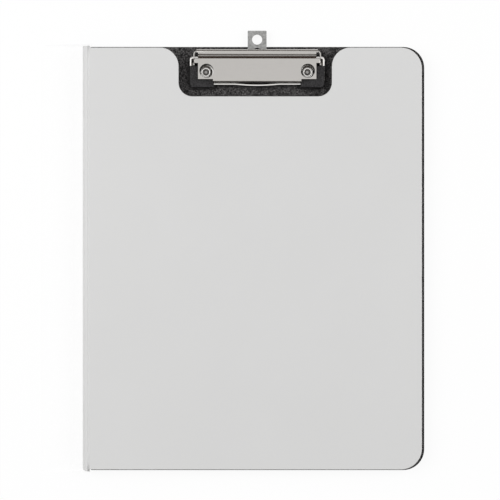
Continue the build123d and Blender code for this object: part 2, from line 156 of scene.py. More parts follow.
class FolderSeamSizes(bpy.types.PropertyGroup):
    """The welded seams of the lining and the pocket."""

    lining_inset: length("Lining seam inset", "From the lining's edge to its seam", 1.3 * MM)
    pocket_inset: length("Pocket seam inset", "From the pocket's edge to its seam", 0.8 * MM)
    mouth: length("Pocket mouth", "How far below the pocket's open edge its seam ends", 2.5 * MM)
    thumb: length("Thumb notch", "Half the width that the seam leaves free for the thumb notch", 17.0 * MM)
    width: length("Seam width", "Width of a welded seam", 1.3 * MM)
    height: length("Seam height", "How far a seam stands up", 0.08 * MM)


class FolderEyeletSizes(bpy.types.PropertyGroup):
    """The rolled hollows of the eyelets and the pressed collars round them."""

    bore: length("Bore radius", "Radius of the hollow at its top", 2.08 * MM)
    lip: length("Lip", "How far the hollow's rolled lip lies below the eyelet's top", 0.12 * MM)
    throat: length("Throat", "How far the hollow has drawn in at its throat", 0.4 * MM)
    throat_depth: length("Throat depth", "From the eyelet's top to the throat", 0.7 * MM)
    end: length("End radius", "Radius of the hollow's closed end", 1.05 * MM)
    depth: length("Hollow depth", "From the eyelet's top to the closed end", 1.5 * MM)
    wall: length("Wall", "Thickness of the closed end", 0.2 * MM)
    flange: length("Flange radius", "Radius of the eyelet's flange, where the collar begins", 3.54 * MM)
    flange_height: length("Flange height", "From the base plate up to the eyelet's top", 0.59 * MM)
    collar: length("Collar radius", "Outer radius of the pressed collar round an eyelet", 4.85 * MM)


class FolderStageLook(bpy.types.PropertyGroup):
    """The floor, the lamps, the mirrored cards and the camera."""

    floor: colour("Floor colour", "Colour of the floor", (0.96, 0.96, 0.96))
    floor_size: length("Floor size", "Side of the square floor", 14.0, 1.0, 100.0)
    floor_gap: length("Floor gap", "From the floor to the folder's underside", 0.02 * MM)
    floor_white: share("Floor whiteness", "How much of plain white the eye sees in the floor", 0.9)
    card: colour("Card colour", "Colour of the dark cards that metal reflects", (0.075, 0.055, 0.043))
    ambient: FloatProperty(name="Ambient light", description="Strength of the light from all round",
                           default=0.36, min=0.0, max=4.0)
    key: FloatProperty(name="Key lamp", description="Power of the soft lamp on the spine's side",
                       default=17.6, min=0.0, subtype="POWER", unit="POWER")
    fill: FloatProperty(name="Fill lamp", description="Power of the soft lamp on the opening side",
                        default=12.9, min=0.0, subtype="POWER", unit="POWER")
    lamp_size: length("Lamp size", "Side of each square lamp", 1.2, 0.01, 10.0)
    glint: FloatProperty(name="Glint", description="Strength of the white reflectors that metal mirrors",
                         default=2.5, min=0.0, max=10.0)
    distance: length("Camera distance", "From the camera to the board", 1.2, 0.2, 20.0)


class FolderLooks(bpy.types.PropertyGroup):
    """Everything that a user would change."""

    sheet: PointerProperty(type=FolderSheetLook)
    covering: PointerProperty(type=FolderCoveringLook)
    metal: PointerProperty(type=FolderMetalLook)
    crease: PointerProperty(type=FolderCreaseSizes)
    seam: PointerProperty(type=FolderSeamSizes)
    eyelet: PointerProperty(type=FolderEyeletSizes)
    stage: PointerProperty(type=FolderStageLook)


def looks():
    """The sizes and colours that the scene holds."""
    return bpy.context.scene.clipboard_folder


class Nodes:
    """Adds shader nodes to one tree. A value is a number, a colour or a socket that is linked."""

    def __init__(self, tree):
        self.tree = tree
        self.place = None

    def add(self, kind, inputs=None, **settings):
        node = self.tree.nodes.new("ShaderNode" + kind)
        for name, value in settings.items():
            setattr(node, name, value)
        for key, value in (inputs or {}).items():
            self.feed(node.inputs[key], value)
        return node

    def feed(self, socket, value):
        if isinstance(value, bpy.types.NodeSocket):
            self.tree.links.new(value, socket)
        elif socket.type == "RGBA" and len(value) == 3:
            socket.default_value = (*value, 1.0)
        else:
            socket.default_value = value

    def here(self):
        """The object coordinates of the point."""
        if self.place is None:
            self.place = self.add("TexCoord").outputs["Object"]
        return self.place

    def math(self, operation, first, second=0.0, clamp=False):
        node = self.add("Math", {0: first, 1: second}, operation=operation, use_clamp=clamp)
        return node.outputs[0]

    def fit(self, value, low, high, to_low=0.0, to_high=1.0):
        """A value taken from one range to another, and held inside it."""
        inputs = {"Value": value, "From Min": low, "From Max": high, "To Min": to_low, "To Max": to_high}
        return self.add("MapRange", inputs, clamp=True).outputs["Result"]

    def blend(self, factor, first, second, mode="MIX"):
        """Two colours mixed. The Mix node's colour sockets share their names with others."""
        first_colour, second_colour, mixed_colour = 6, 7, 2
        node = self.add("Mix", data_type="RGBA", blend_type=mode)
        self.feed(node.inputs["Factor"], factor)
        self.feed(node.inputs[first_colour], first)
        self.feed(node.inputs[second_colour], second)
        return node.outputs[mixed_colour]

    def laid(self, mask, amount, under, over):
        """A colour laid over another as far as a mask and an amount let it."""
        return self.blend(self.math("MULTIPLY", mask, amount), under, over)

    def drift(self, base, change, amount, clamp=False):
        """A value that a change moves up and down by an amount."""
        return self.math("ADD", base, self.math("MULTIPLY", change, amount), clamp=clamp)

    def noise(self, scale, detail=2.0, roughness=0.5, distortion=0.0, at=None):
        inputs = {"Vector": at or self.here(), "Scale": scale, "Detail": detail,
                  "Roughness": roughness, "Distortion": distortion}
        return self.add("TexNoise", inputs).outputs["Fac"]

    def cells(self, scale, feature="F1", output="Distance", at=None):
        inputs = {"Vector": at or self.here(), "Scale": scale}
        return self.add("TexVoronoi", inputs, feature=feature).outputs[output]

    def streaks(self, sizes, distortion=0.0):
        """Rough noise whose marks have a size of their own along X, Y and Z."""
        scale = [1 / size for size in sizes]
        place = self.add("Mapping", {"Vector": self.here(), "Scale": scale}).outputs["Vector"]
        return self.noise(1.0, 4.0, 0.7, distortion, at=place)

    def bump(self, height, distance, normal=None):
        inputs = {"Height": height, "Distance": distance, "Strength": 1.0}
        if normal is not None:
            inputs["Normal"] = normal
        return self.add("Bump", inputs).outputs["Normal"]

    def effect(self, name, **values):
        """The outputs of a shared effect, with its inputs set."""
        node = self.add("Group", node_tree=bpy.data.node_groups[name])
        for key, value in values.items():
            self.feed(node.inputs[key.capitalize()], value)
        return node.outputs


class Effect(Nodes):
    """A new shader node group with named float inputs and outputs."""

    def __init__(self, name, inputs, outputs):
        super().__init__(bpy.data.node_groups.new(name, "ShaderNodeTree"))
        for title, default in inputs.items():
            socket = self.tree.interface.new_socket(title, in_out="INPUT", socket_type="NodeSocketFloat")
            socket.default_value = default
        for title in outputs:
            self.tree.interface.new_socket(title, in_out="OUTPUT", socket_type="NodeSocketFloat")
        self.given = self.tree.nodes.new("NodeGroupInput").outputs
        self.result = self.tree.nodes.new("NodeGroupOutput").inputs

    def give(self, title, value):
        self.tree.links.new(value, self.result[title])


def fine_grain():
    """Even, fine noise."""
    grain = Effect("Fine grain", {"Size": 0.5 * MM}, ["Height"])
    scale = grain.math("DIVIDE", 1.0, grain.given["Size"])
    grain.give("Height", grain.noise(scale, 3.0, 0.55))


def leather_grain():
    """Plump cells of uneven size with narrow gaps, each with a tone of its own."""
    leather = Effect("Leather grain", {"Size": 0.9 * MM}, ["Height", "Cell", "Tone"])
    scale = leather.math("DIVIDE", 1.0, leather.given["Size"])
    warp = leather.add("TexNoise", {"Vector": leather.here(), "Scale": scale, "Detail": 2.0})
    middle = (0.5, 0.5, 0.5)
    shift = leather.add("VectorMath", {0: warp.outputs["Color"], 1: middle}, operation="SUBTRACT")
    reach = leather.math("MULTIPLY", leather.given["Size"], 0.9)
    moved = leather.add("VectorMath", {0: shift.outputs[0], "Scale": reach}, operation="SCALE")
    bent = leather.add("VectorMath", {0: leather.here(), 1: moved.outputs[0]}, operation="ADD").outputs[0]
    plump = leather.fit(leather.cells(scale, "DISTANCE_TO_EDGE", at=bent), 0.0, 0.32)
    pebble = leather.math("POWER", plump, 0.6)
    fine = leather.noise(leather.math("MULTIPLY", scale, 5.0), 2.0)
    leather.give("Height", leather.drift(pebble, fine, 0.25))
    leather.give("Cell", plump)
    each = leather.cells(scale, output="Color", at=bent)
    tone = leather.add("SeparateXYZ", {0: each}).outputs["X"]
    leather.give("Tone", leather.fit(tone, 0.1, 0.9))


def hairlines():
    """Fine lines that run along X."""
    hair = Effect("Hairlines", {"Size": 0.1 * MM, "Length": 12 * MM}, ["Height"])
    across = hair.math("DIVIDE", 1.0, hair.given["Size"])
    along = hair.math("DIVIDE", 1.0, hair.given["Length"])
    factors = hair.add("CombineXYZ", {"X": along, "Y": across, "Z": across}).outputs[0]
    drawn = hair.add("VectorMath", {0: hair.here(), 1: factors}, operation="MULTIPLY").outputs[0]
    hair.give("Height", hair.noise(1.0, 3.0, 0.6, at=drawn))


def smudges():
    """Soft clouds from minus one to one."""
    smudge = Effect("Smudges", {"Size": 30 * MM}, ["Value"])
    scale = smudge.math("DIVIDE", 1.0, smudge.given["Size"])
    cloud = smudge.noise(scale, 4.0, 0.6, 0.4)
    smudge.give("Value", smudge.fit(cloud, 0.3, 0.7, -1.0, 1.0))


def edge_wear():
    """Broken patches along sharp edges."""
    wear = Effect("Edge wear", {"Width": 0.4 * MM, "Breakup": 3 * MM}, ["Mask"])
    rounded = wear.add("Bevel", {"Radius": wear.given["Width"]}, samples=6).outputs["Normal"]
    flat = wear.add("NewGeometry").outputs["Normal"]
    same = wear.add("VectorMath", {0: rounded, 1: flat}, operation="DOT_PRODUCT").outputs["Value"]
    sharp = wear.fit(same, 0.995, 0.8)
    broken = wear.noise(wear.math("DIVIDE", 1.0, wear.given["Breakup"]), 4.0, 0.65)
    wear.give("Mask", wear.math("MULTIPLY", sharp, wear.fit(broken, 0.38, 0.66)))


def settled_dust():
    """Specks in loose patches, on what faces up."""
    dust = Effect("Dust", {"Size": 0.6 * MM}, ["Mask"])
    scale = dust.math("DIVIDE", 1.0, dust.given["Size"])
    speck = dust.fit(dust.noise(scale, 3.0, 0.7), 0.66, 0.78)
    patch = dust.fit(dust.noise(dust.math("MULTIPLY", scale, 0.03), 2.0), 0.4, 0.7)
    up = dust.add("SeparateXYZ", {0: dust.add("NewGeometry").outputs["Normal"]}).outputs["Z"]
    lying = dust.fit(up, 0.5, 0.95)
    dust.give("Mask", dust.math("MULTIPLY", dust.math("MULTIPLY", speck, patch), lying))


def painted_hollow_shade():
    """Painted shade: darker where the surface lies in a hollow and sees little open air, broken into
    patches.
    """
    painted_shade = Effect("Painted hollow shade", {"Reach": 2 * MM, "Breakup": 2 * MM}, ["Mask"])
    open_air = painted_shade.add("AmbientOcclusion", {"Distance": painted_shade.given["Reach"]}, samples=8).outputs["AO"]
    hollow = painted_shade.fit(open_air, 0.93, 0.55)
    patchy = painted_shade.noise(painted_shade.math("DIVIDE", 1.0, painted_shade.given["Breakup"]), 3.0, 0.6)
    painted_shade.give("Mask", painted_shade.math("MULTIPLY", hollow, painted_shade.fit(patchy, 0.3, 0.6, 0.75, 1.0)))


def finish_named(name):
    """A new material, its nodes and its Principled shader."""
    material = bpy.data.materials.new(name)
    material.use_nodes = True
    return material, Nodes(material.node_tree), material.node_tree.nodes["Principled BSDF"]


def colour_with(nodes, shader, value):
    nodes.feed(shader.inputs["Base Color"], value)


def roughen(nodes, shader, value):
    nodes.feed(shader.inputs["Roughness"], value)


def relief(nodes, shader, height, distance, under=None):
    """Bumps the surface by a height, over the bumps of an earlier normal."""
    nodes.feed(shader.inputs["Normal"], nodes.bump(height, distance, under))


def grey_sheet():
    """Matte light-grey sheet: fine grain, faint clouds, rubbed edges and a little dust."""
    look = looks().sheet
    material, nodes, shader = finish_named("grey_sheet_finish")
    grain = nodes.effect("Fine grain", size=look.grain)["Height"]
    clouds = nodes.effect("Smudges", size=70 * MM)["Value"]
    touch = nodes.effect("Smudges", size=14 * MM)["Value"]
    worn = nodes.effect("Edge wear", width=0.35 * MM, breakup=4 * MM)["Mask"]
    dusty = nodes.effect("Dust", size=0.5 * MM)["Mask"]
    pale_dust = (0.5, 0.49, 0.47)
    shade = nodes.drift(nodes.fit(grain, 0.3, 0.7, 0.985, 1.01), clouds, 0.008)
    tinted = nodes.blend(1.0, look.tint, shade, "MULTIPLY")
    rubbed = nodes.laid(worn, 0.45, tinted, look.worn)
    colour_with(nodes, shader, nodes.laid(dusty, 0.12, rubbed, pale_dust))
    roughen(nodes, shader, nodes.drift(look.roughness, touch, 0.045, clamp=True))
    waves = nodes.bump(nodes.noise(1 / (22 * MM), 2.0), 0.02 * MM)
    relief(nodes, shader, grain, look.grain_depth, waves)
    return material


def black_covering():
    """Leather-like grained covering: painted shade in the gaps between its cells, in its hollows and round
    the clip, cells whose tone is partly random and partly painted sheen, paler rubbed corners and dust.
    """
    look = looks().covering
    material, nodes, shader = finish_named("black_covering_finish")
    leather = nodes.effect("Leather grain", size=look.grain)
    clouds = nodes.effect("Smudges", size=25 * MM)["Value"]
    mottle = nodes.effect("Smudges", size=5 * MM)["Value"]
    worn = nodes.effect("Edge wear", width=0.5 * MM, breakup=2.5 * MM)["Mask"]
    dusty = nodes.effect("Dust", size=0.45 * MM)["Mask"]
    # Painted shadow: darkens the covering round the clip, under the cover's edge and in its hollows
    painted_shadow_mask = nodes.effect("Painted hollow shade", reach=4.5 * MM, breakup=6 * MM)["Mask"]
    # Painted shade: the gaps between the cells are coloured darker
    gap = tuple(0.25 * channel for channel in look.tint)
    rubbed_black, pale_dust = (0.11, 0.11, 0.11), (0.3, 0.29, 0.28)
    base = nodes.blend(leather["Cell"], gap, look.tint)
    # Cell tones: partly random, partly painted sheen that makes some cells look lit brighter than others
    spread = nodes.fit(leather["Tone"], 0.0, 1.0, 0.15, 2.3)
    tone = nodes.math("MULTIPLY", spread, nodes.fit(mottle, -1.0, 1.0, 0.94, 1.06))
    lit = nodes.blend(1.0, base, tone, "MULTIPLY")
    # Lays the painted shadow colour over the lit covering
    shaded = nodes.laid(painted_shadow_mask, 0.9, lit, look.hollow)
    rubbed = nodes.laid(worn, 0.5, shaded, rubbed_black)
    colour_with(nodes, shader, nodes.laid(dusty, 0.25, rubbed, pale_dust))
    shader.inputs["Specular IOR Level"].default_value = look.gloss
    roughen(nodes, shader, nodes.drift(look.roughness, clouds, 0.06, clamp=True))
    relief(nodes, shader, leather["Height"], look.grain_depth)
    return material


def black_lining():
    """Finer linen-embossed lining."""
    look = looks().covering
    material, nodes, shader = finish_named("black_lining_finish")
    linen = {"Vector": nodes.here(), "Scale": 330.0, "Distortion": 0.9, "Detail": 1.0, "Detail Scale": 2.0}
    warp = nodes.add("TexWave", linen, bands_direction="X").outputs["Fac"]
    weft = nodes.add("TexWave", linen, bands_direction="Y").outputs["Fac"]
    thread = nodes.math("MAXIMUM", warp, weft)
    slub = nodes.effect("Fine grain", size=0.4 * MM)["Height"]
    clouds = nodes.effect("Smudges", size=45 * MM)["Value"]
    touch = nodes.effect("Smudges", size=9 * MM)["Value"]
    worn = nodes.effect("Edge wear", width=0.4 * MM, breakup=2 * MM)["Mask"]
    rubbed_black = (0.09, 0.09, 0.09)
    shade = nodes.drift(nodes.fit(thread, 0.0, 1.0, 0.7, 1.1), clouds, 0.1)
    base = nodes.blend(1.0, look.lining, shade, "MULTIPLY")
    colour_with(nodes, shader, nodes.laid(worn, 0.35, base, rubbed_black))
    roughen(nodes, shader, nodes.drift(look.lining_roughness, touch, 0.07, clamp=True))
    relief(nodes, shader, nodes.drift(thread, slub, 0.5), 0.05 * MM)
    return material


def pocket_film():
    """Smooth plastic film of the pocket: low ripples, slip marks along the way papers go."""
    look = looks().covering
    material, nodes, shader = finish_named("pocket_film_finish")
    marks = nodes.fit(nodes.streaks((0.5 * MM, 35 * MM, 5 * MM)), 0.6, 0.75)
    touch = nodes.effect("Smudges", size=18 * MM)["Value"]
    worn = nodes.effect("Edge wear", width=0.3 * MM, breakup=2 * MM)["Mask"]
    scuffed, whitened = (0.12, 0.12, 0.125), (0.16, 0.16, 0.16)
    base = nodes.laid(marks, 0.25, look.pocket, scuffed)
    colour_with(nodes, shader, nodes.laid(worn, 0.5, base, whitened))
    rough = nodes.drift(look.pocket_roughness, touch, 0.06, clamp=True)
    roughen(nodes, shader, nodes.drift(rough, marks, 0.2, clamp=True))
    fine = nodes.bump(nodes.effect("Fine grain", size=0.3 * MM)["Height"], 0.004 * MM)
    relief(nodes, shader, nodes.noise(1 / (16 * MM), 2.0), 0.12 * MM, fine)
    return material


def greyboard():
    """Raw pressed board: fibres, flecks and soft layers."""
    look = looks().covering
    material, nodes, shader = finish_named("greyboard_finish")
    fibres = nodes.streaks((1.2 * MM, 0.25 * MM, 0.1 * MM), distortion=0.6)
    flecks = nodes.fit(nodes.cells(1 / (0.9 * MM)), 0.12, 0.05)
    ink_fleck = (0.16, 0.14, 0.12)
    base = nodes.blend(1.0, look.board, nodes.fit(fibres, 0.3, 0.7, 0.8, 1.12), "MULTIPLY")
    colour_with(nodes, shader, nodes.laid(flecks, 0.5, base, ink_fleck))
    roughen(nodes, shader, nodes.fit(fibres, 0.3, 0.7, 0.82, 0.95))
    relief(nodes, shader, fibres, 0.08 * MM)
    return material


def nickel_plate():
    """Satin-bright nickel: faint rolling lines, finger smudges, rubbed edges, and painted shade in the
    hollows.
    """
    look = looks().metal
    material, nodes, shader = finish_named("nickel_plate_finish")
    lines = nodes.effect("Hairlines", size=0.12 * MM, length=14 * MM)["Height"]
    clouds = nodes.effect("Smudges", size=11 * MM)["Value"]
    worn = nodes.effect("Edge wear", width=0.25 * MM, breakup=1.5 * MM)["Mask"]
    # Painted shade: darkens the plate in its valley, under the lugs and round its openings
    hollow_shade_mask = nodes.effect("Painted hollow shade", reach=5 * MM, breakup=5 * MM)["Mask"]
    rubbed_bright = (0.78, 0.76, 0.73)
    shade = nodes.drift(nodes.fit(lines, 0.3, 0.7, 0.97, 1.02), clouds, 0.012)
    base = nodes.blend(1.0, look.nickel, shade, "MULTIPLY")
    # Lays the painted shade colour over the plate's colour
    with_painted_shade = nodes.laid(hollow_shade_mask, 0.92, base, look.painted_shade)
    colour_with(nodes, shader, nodes.laid(worn, 0.5, with_painted_shade, rubbed_bright))
    shader.inputs["Metallic"].default_value = 1.0
    rough = nodes.drift(look.nickel_roughness, clouds, 0.035, clamp=True)
    roughen(nodes, shader, nodes.drift(rough, worn, 0.1, clamp=True))
    dents = nodes.bump(nodes.noise(1 / (9 * MM), 1.0), 0.02 * MM)
    relief(nodes, shader, lines, 0.0012 * MM, dents)
    return material


def base_nickel():
    """Brighter nickel of the base plate and eyelets, never rubbed by hand: fine grain, water marks, and
    painted shade under the lever plate and round the eyelets.
    """
    look = looks().metal
    material, nodes, shader = finish_named("base_nickel_finish")
    grain = nodes.effect("Fine grain", size=0.25 * MM)["Height"]
    marks = nodes.effect("Smudges", size=3 * MM)["Value"]
    worn = nodes.effect("Edge wear", width=0.2 * MM, breakup=1.2 * MM)["Mask"]
    # Painted shade: darkens the base plate under the lever plate's edges and round the eyelets
    hollow_shade_mask = nodes.effect("Painted hollow shade", reach=1.2 * MM, breakup=1.5 * MM)["Mask"]
    rubbed_bright = (0.9, 0.89, 0.87)
    shade = nodes.drift(nodes.fit(grain, 0.3, 0.7, 0.95, 1.03), marks, 0.04)
    base = nodes.blend(1.0, look.base, shade, "MULTIPLY")
    # Lays the painted shade colour over the base plate's colour
    with_painted_shade = nodes.laid(hollow_shade_mask, 0.9, base, look.painted_shade)
    colour_with(nodes, shader, nodes.laid(worn, 0.4, with_painted_shade, rubbed_bright))
    shader.inputs["Metallic"].default_value = 1.0
    roughen(nodes, shader, nodes.drift(look.base_roughness, marks, 0.05, clamp=True))
    relief(nodes, shader, grain, 0.002 * MM)
    return material


def bright_wire():
    """Polished chromed wire with draw marks and small scuffs."""
    look = looks().metal
    material, nodes, shader = finish_named("bright_wire_finish")
    lines = nodes.effect("Hairlines", size=0.15 * MM, length=6 * MM)["Height"]
    clouds = nodes.effect("Smudges", size=4 * MM)["Value"]
    shade = nodes.fit(clouds, -1.0, 1.0, 0.92, 1.04)
    colour_with(nodes, shader, nodes.blend(1.0, look.wire, shade, "MULTIPLY"))
    shader.inputs["Metallic"].default_value = 1.0
    roughen(nodes, shader, nodes.drift(look.wire_roughness, clouds, 0.03, clamp=True))
    waves = nodes.bump(nodes.noise(1 / (3.2 * MM), 1.0), 0.03 * MM)
    relief(nodes, shader, lines, 0.002 * MM, waves)
    return material


def zinc_plate():
    """Matte zinc: crystal patches, tumbling marks and paler edges."""
    look = looks().metal
    material, nodes, shader = finish_named("zinc_plate_finish")
    crystals = nodes.cells(1 / (1.1 * MM), output="Color")
    crystal = nodes.add("SeparateXYZ", {0: crystals}).outputs["X"]
    grit = nodes.effect("Fine grain", size=0.22 * MM)["Height"]
    clouds = nodes.effect("Smudges", size=3.5 * MM)["Value"]
    worn = nodes.effect("Edge wear", width=0.3 * MM, breakup=1.2 * MM)["Mask"]
    rubbed_bright = (0.66, 0.65, 0.63)
    mottle = nodes.drift(nodes.fit(crystal, 0.0, 1.0, 0.78, 1.2), clouds, 0.09)
    shade = nodes.math("MULTIPLY", mottle, nodes.fit(grit, 0.3, 0.7, 0.9, 1.08))
    base = nodes.blend(1.0, look.zinc, shade, "MULTIPLY")
    colour_with(nodes, shader, nodes.laid(worn, 0.6, base, rubbed_bright))
    shader.inputs["Metallic"].default_value = 1.0
    roughen(nodes, shader, nodes.drift(look.zinc_roughness, clouds, 0.08, clamp=True))
    relief(nodes, shader, grit, 0.012 * MM)
    return material


def spring_steel():
    """Drawn spring wire: darker, oiled and slightly streaked."""
    look = looks().metal
    material, nodes, shader = finish_named("spring_steel_finish")
    streaks = nodes.effect("Fine grain", size=0.3 * MM)["Height"]
    clouds = nodes.effect("Smudges", size=2.5 * MM)["Value"]
    shade = nodes.fit(streaks, 0.3, 0.7, 0.8, 1.1)
    colour_with(nodes, shader, nodes.blend(1.0, look.spring, shade, "MULTIPLY"))
    shader.inputs["Metallic"].default_value = 1.0
    roughen(nodes, shader, nodes.drift(look.spring_roughness, clouds, 0.07, clamp=True))
    relief(nodes, shader, streaks, 0.004 * MM)
    return material


def moulded_rubber():
    """Matte moulded rubber: pitted skin, pale flecks, bloom, dust and paler rubbed edges."""
    look = looks().metal
    material, nodes, shader = finish_named("moulded_rubber_finish")
    pits = nodes.effect("Fine grain", size=0.3 * MM)["Height"]
    bloom = nodes.effect("Smudges", size=5 * MM)["Value"]
    worn = nodes.effect("Edge wear", width=0.5 * MM, breakup=1.6 * MM)["Mask"]
    dusty = nodes.effect("Dust", size=0.35 * MM)["Mask"]
    rubbed_black, pale_dust = (0.085, 0.085, 0.09), (0.28, 0.27, 0.26)
    fleck = nodes.fit(nodes.noise(1 / (0.7 * MM), 2.0, 0.6), 0.32, 0.68, 0.1, 2.0)
    tone = nodes.math("MULTIPLY", fleck, nodes.fit(bloom, -1.0, 1.0, 0.8, 1.25))
    base = nodes.blend(1.0, look.rubber, tone, "MULTIPLY")
    rubbed = nodes.laid(worn, 0.4, base, rubbed_black)
    colour_with(nodes, shader, nodes.laid(dusty, 0.35, rubbed, pale_dust))
    shader.inputs["Specular IOR Level"].default_value = look.rubber_gloss
    roughen(nodes, shader, nodes.drift(look.rubber_roughness, bloom, 0.06, clamp=True))
    relief(nodes, shader, pits, 0.03 * MM)
    return material


def dress(names, material):
    """Gives CAD nodes a finish."""
    for name in names:
        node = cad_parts[name]
        node.material_slots[0].material = material


def soften(names, width, segments=2):
    """Rounds the sharp edges of CAD nodes by a small width, without touching their meshes."""
    for name in names:
        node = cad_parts[name]
        join = node.modifiers.new("Join", "WELD")
        join.merge_threshold = MERGE_DISTANCE
        edge = node.modifiers.new("Edge round", "BEVEL")
        edge.width = width
        edge.segments = segments
        edge.limit_method = "ANGLE"
        edge.angle_limit = math.radians(40)
        edge.use_clamp_overlap = True
        edge.harden_normals = True


def object_of(name, bm, materials):
    """A new object of a bmesh, at the origin, in the scene."""
    mesh = bpy.data.meshes.new(name)
    bm.to_mesh(mesh)
    bm.free()
    for material in materials:
        mesh.materials.append(material)
    made = bpy.data.objects.new(name, mesh)
    bpy.context.scene.collection.objects.link(made)
    return made


def piece(name, bm, materials):
    """A finished, smooth piece of the folder."""
    made = object_of(name, bm, materials)
    made.data.shade_smooth()
    return made


def near(x, z, *offsets):
    """Points at offsets, in millimetres, from a place in a section."""
    return [(x + across * MM, z + up * MM) for across, up in offsets]


def drawn_out(bm, extruded, run):
    """Moves the new end of an extrusion along its run."""
    moved = [item for item in extruded["geom"] if isinstance(item, bmesh.types.BMVert)]
    bmesh.ops.translate(bm, verts=moved, vec=run)


def cut_along_y(bm, distance, cuts):
    """Divides the edges that run along Y, so that the piece can bend or bow."""
    runs = [e for e in bm.edges if abs(e.verts[0].co.y - e.verts[1].co.y) > distance / 2]
    bmesh.ops.subdivide_edges(bm, edges=runs, cuts=cuts, use_grid_fill=True)
    bmesh.ops.recalc_face_normals(bm, faces=bm.faces[:])


def spun_arc(bm, centre, start, turn, steps):
    """The edges of an arc about Y that begins at a point."""
    first = bm.verts.new(start)
    known = set(bm.edges)
    bmesh.ops.spin(bm, geom=[first], cent=centre, axis=(0, 1, 0), angle=turn, steps=steps)
    return [edge for edge in bm.edges if edge not in known]


def crease_groove(outer_z, outward):
    """A crease: a shallow round groove in the outer sheet, black on its inner face."""
    sizes = looks().crease
    low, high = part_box("front_hinge_film")
    half = (high.x - low.x) / 2
    radius = (half ** 2 + sizes.depth ** 2) / (2 * sizes.depth)
    turn = 2 * math.asin(half / radius)
    centre = Vector((low.x + half, low.y, outer_z + outward * (radius - sizes.depth)))
    way = Vector((-math.sin(turn / 2), 0, -outward * math.cos(turn / 2)))
    bm = bmesh.new()
    arcs = [spun_arc(bm, centre, centre + way * reach, -outward * turn, sizes.steps)
            for reach in (radius, radius + sizes.film)]
    bmesh.ops.bridge_loops(bm, edges=arcs[0] + arcs[1])
    drawn = bmesh.ops.extrude_face_region(bm, geom=bm.faces[:], use_keep_orig=True)
    drawn_out(bm, drawn, (0, high.y - low.y, 0))
    cut_along_y(bm, high.y - low.y, sizes.cuts)
    inner_radius = radius + 0.75 * sizes.film
    for face in bm.faces:
        out = face.calc_center_median() - centre
        on_end = abs(face.normal.y) > 0.5
        face.material_index = int(math.hypot(out.x, out.z) > inner_radius and not on_end)
    return bm


def crease_skin(points, low_y, high_y):
    """Thin black skin that lines a crease, drawn by points in X and Z."""
    sizes = looks().crease
    bm = bmesh.new()
    verts = [bm.verts.new((x, low_y, z)) for x, z in points]
    for pair in zip(verts, verts[1:]):
        bm.edges.new(pair)
    drawn_out(bm, bmesh.ops.extrude_edge_only(bm, edges=bm.edges[:]), (0, high_y - low_y, 0))
    cut_along_y(bm, high_y - low_y, sizes.cuts)
    bmesh.ops.solidify(bm, geom=bm.faces[:], thickness=sizes.skin)
    bmesh.ops.recalc_face_normals(bm, faces=bm.faces[:])
    return bm


def merged_copy(node):
    """A bmesh of a CAD node, with the corners of its loose triangles merged."""
    bm = bmesh.new()
    bm.from_mesh(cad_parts[node].data)
    bmesh.ops.remove_doubles(bm, verts=bm.verts[:], dist=MERGE_DISTANCE)
    return bm


def lining_wall():
    """Thickness of the lining, which is the same in the cover and in the spine."""
    low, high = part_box("front_lining")
    return high.z - low.z


def front_skin_points():
    """The front crease's inner skin, from the spine's lining past the core to the cover's lining."""
    low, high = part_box("front_hinge_film")
    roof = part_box("spine_lining")[1].z - lining_wall()
    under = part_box("front_sheet")[1].z - 0.78 * MM
    side = high.x - 0.08 * MM
    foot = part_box("front_lining")[0].z
    return [
        *near(low.x, roof, (-0.9, -0.17), (-0.4, -0.06), (0, -0.02)),
        *near(low.x, under, (0.3, -0.1)),
        ((low.x + high.x) / 2, under),
        *near(side, under, (-0.35, -0.12), (-0.08, -0.35), (0, -0.7)),
        *near(side, foot, (0, 0.25), (0.1, 0.04), (0.35, -0.02), (1.0, -0.02)),
    ]


def back_skin_points():
    """The back crease's inner skin, from the spine's lining up the edge of the board."""
    low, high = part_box("back_hinge_film")
    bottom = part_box("spine_lining")[0].z + lining_wall()
    over = 0.8 * MM
    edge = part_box("back_board_wrap")[0].x - 0.03 * MM
    return [
        *near(low.x, bottom, (-0.9, 0.17), (-0.4, 0.06), (0, 0.02)),
        *near(low.x, over, (0.3, 0.04)),
        ((low.x + high.x) / 2, over),
        *near(high.x, over, (-0.2, 0)),
        *near(edge, over, (-0.2, 0.04), (-0.04, 0.18), (0, 0.4), (0, 1.2)),
    ]


